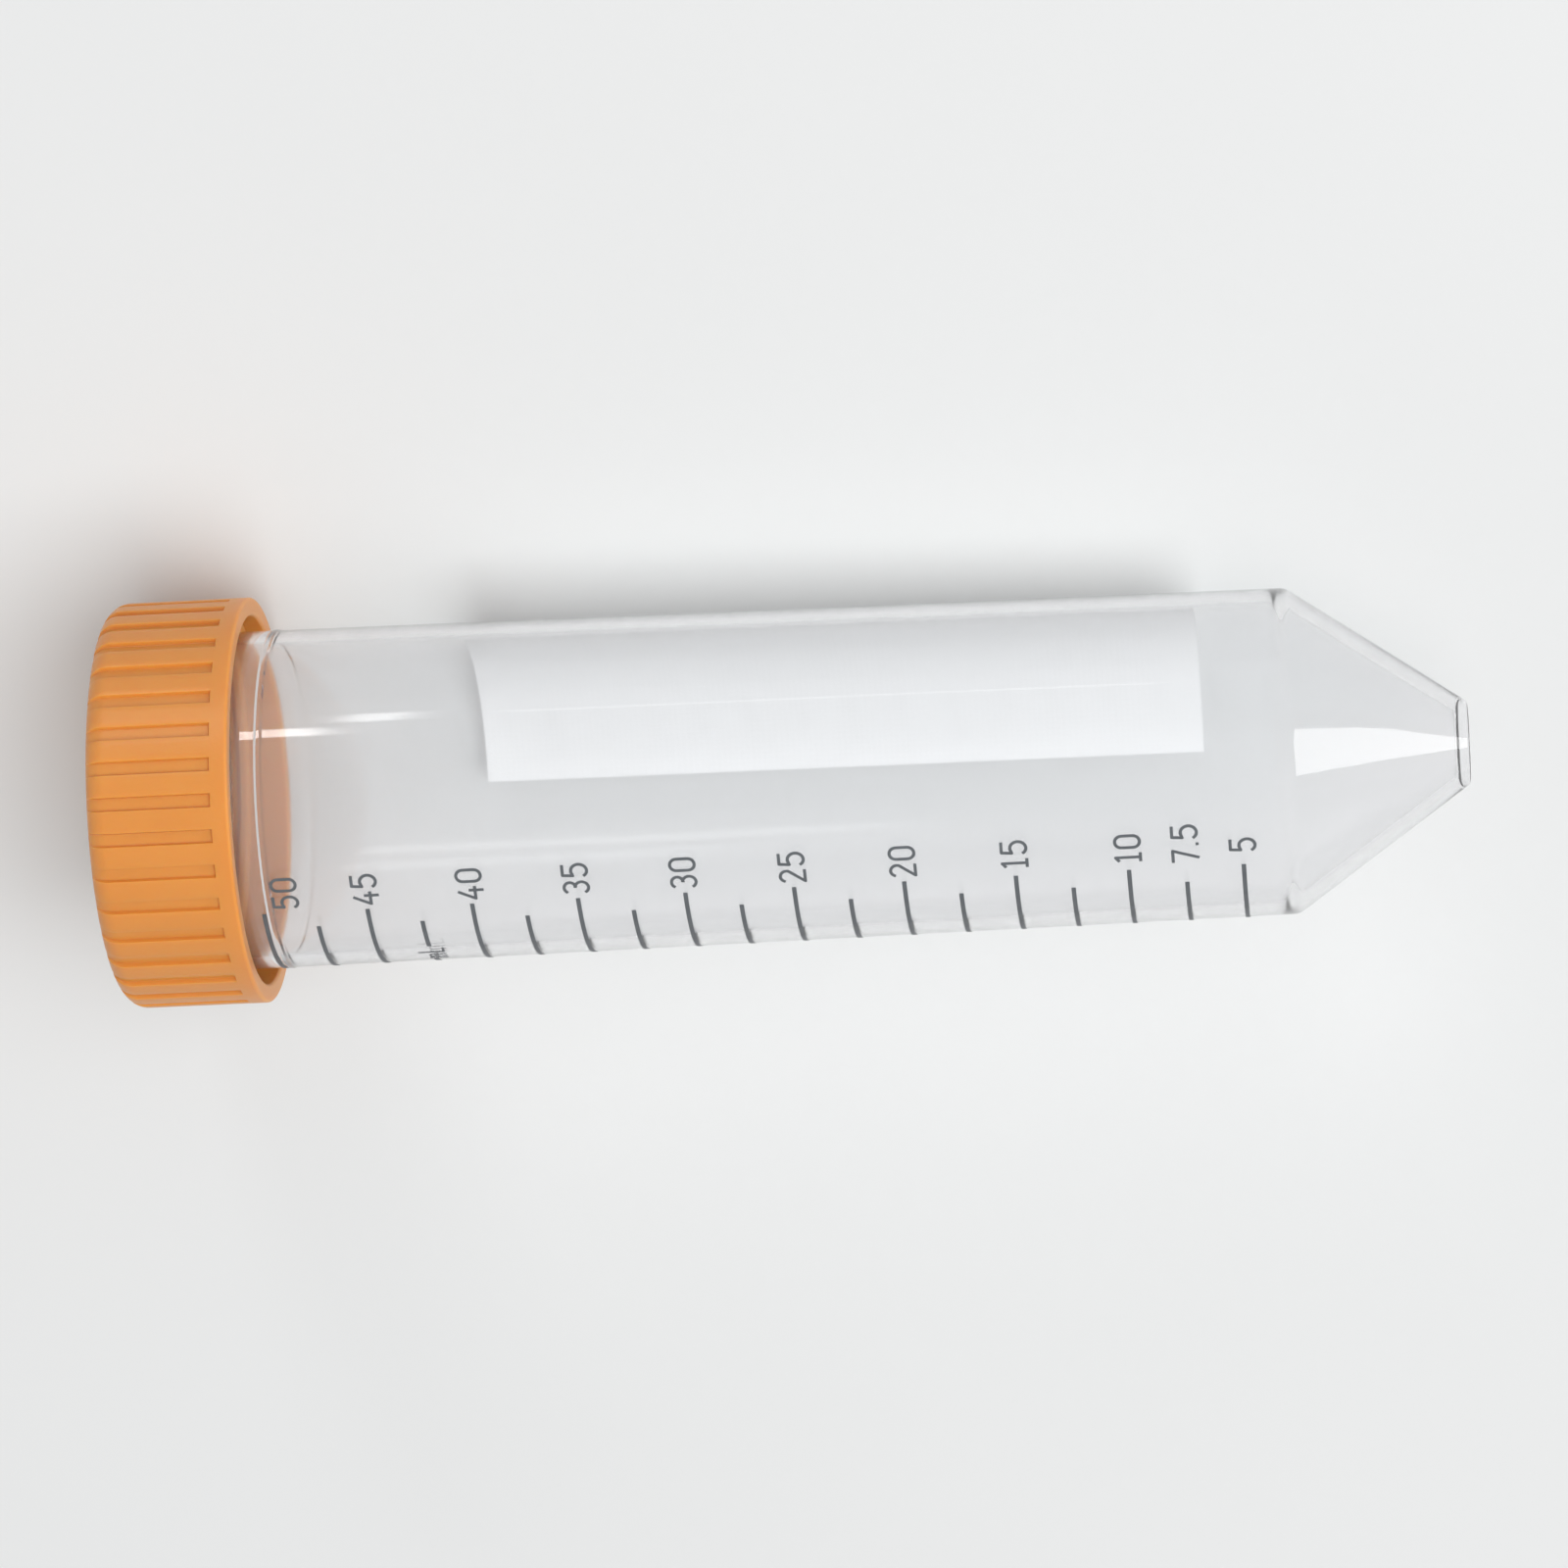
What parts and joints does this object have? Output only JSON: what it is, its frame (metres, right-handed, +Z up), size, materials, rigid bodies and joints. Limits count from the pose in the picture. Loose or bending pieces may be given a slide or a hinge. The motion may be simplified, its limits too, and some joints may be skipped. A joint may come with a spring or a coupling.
{
  "type": "conical centrifuge tube",
  "caption": "Clear round tube with a conical end, a graduated scale, a white write-on panel and an orange ribbed screw cap that lifts off, lying on its side.",
  "frame": {"origin": "bottom centre of the bounding box, on the surface that the tube lies on", "axes": "+Z up, +X from the cap towards the tip; the tube rests on its cap's lip and its shoulder, so its axis slopes down towards the tip by 2.32 degrees"},
  "size_m": [0.1168, 0.035, 0.0354],
  "materials": {
    "clear_polypropylene": "clear, slightly hazy, smooth moulded polypropylene",
    "orange_polyethylene": "satin moulded polyethylene",
    "white_ink": "matte printed ink that takes a pen",
    "grey_ink": "matte printed ink"
  },
  "bodies": {
    "tube": {"tube_body": "clear_polypropylene", "write_on_panel": "white_ink", "graduation_5": "grey_ink", "graduation_7.5": "grey_ink", "graduation_10": "grey_ink", "graduation_12.5": "grey_ink", "graduation_15": "grey_ink", "graduation_17.5": "grey_ink", "graduation_20": "grey_ink", "graduation_22.5": "grey_ink", "graduation_25": "grey_ink", "graduation_27.5": "grey_ink", "graduation_30": "grey_ink", "graduation_32.5": "grey_ink", "graduation_35": "grey_ink", "graduation_37.5": "grey_ink", "graduation_40": "grey_ink", "graduation_42.5_near": "grey_ink", "graduation_42.5_far": "grey_ink", "graduation_45": "grey_ink", "graduation_47.5": "grey_ink", "graduation_50": "grey_ink"},
    "cap": {"screw_cap": "orange_polyethylene"}
  },
  "joints": [
    {"name": "cap_lift", "type": "slide", "parent": "tube", "child": "cap", "axis": [-0.9992, 0, 0.0405], "range_m": [0, 0.042]}
  ]
}
